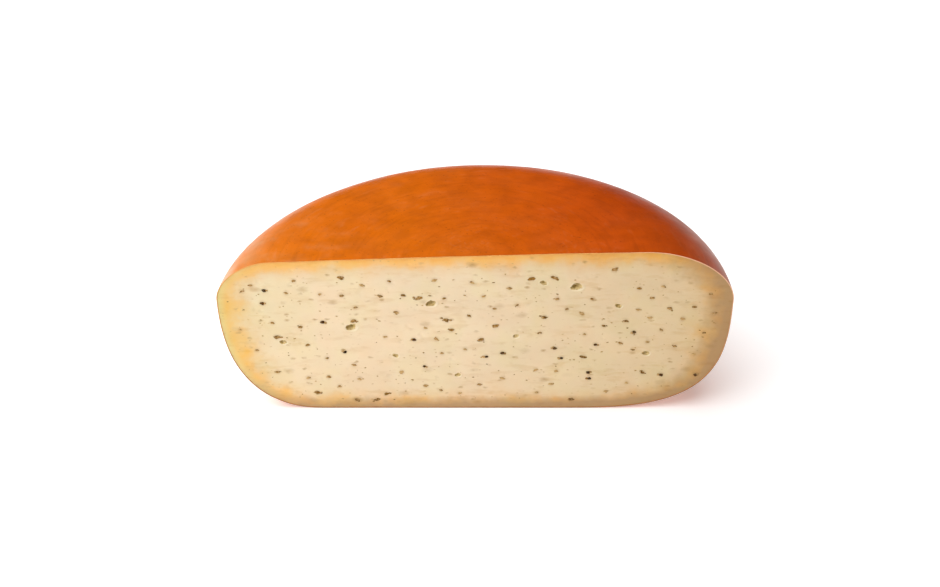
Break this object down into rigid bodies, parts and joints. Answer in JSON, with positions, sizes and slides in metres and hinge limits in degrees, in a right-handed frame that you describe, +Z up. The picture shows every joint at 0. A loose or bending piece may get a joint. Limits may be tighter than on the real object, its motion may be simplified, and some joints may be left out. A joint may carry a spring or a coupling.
{
  "type": "herb cheese half wheel",
  "caption": "Half of a round semi-hard herb cheese, cut straight down, with a thin orange coat and dark herb flecks in its pale flat cut face.",
  "frame": {"origin": "middle of the footprint's bounding box, at the height of the surface it stands on", "axes": "+Z up; +X to the right along the cut face, as seen from the front; -Y is the way the flat cut face looks, and +Y is towards the round coated back"},
  "size_m": [0.3501, 0.1756, 0.127],
  "materials": {
    "paste": "pale cream cut cheese, dull to silky, golden towards the coat",
    "coat": "thin orange coating, smooth and lightly glossy",
    "herb": "dried dark brown, green-brown and red-brown herb, dull"
  },
  "bodies": {
    "root": {"half_wheel": "paste"}
  },
  "joints": []
}
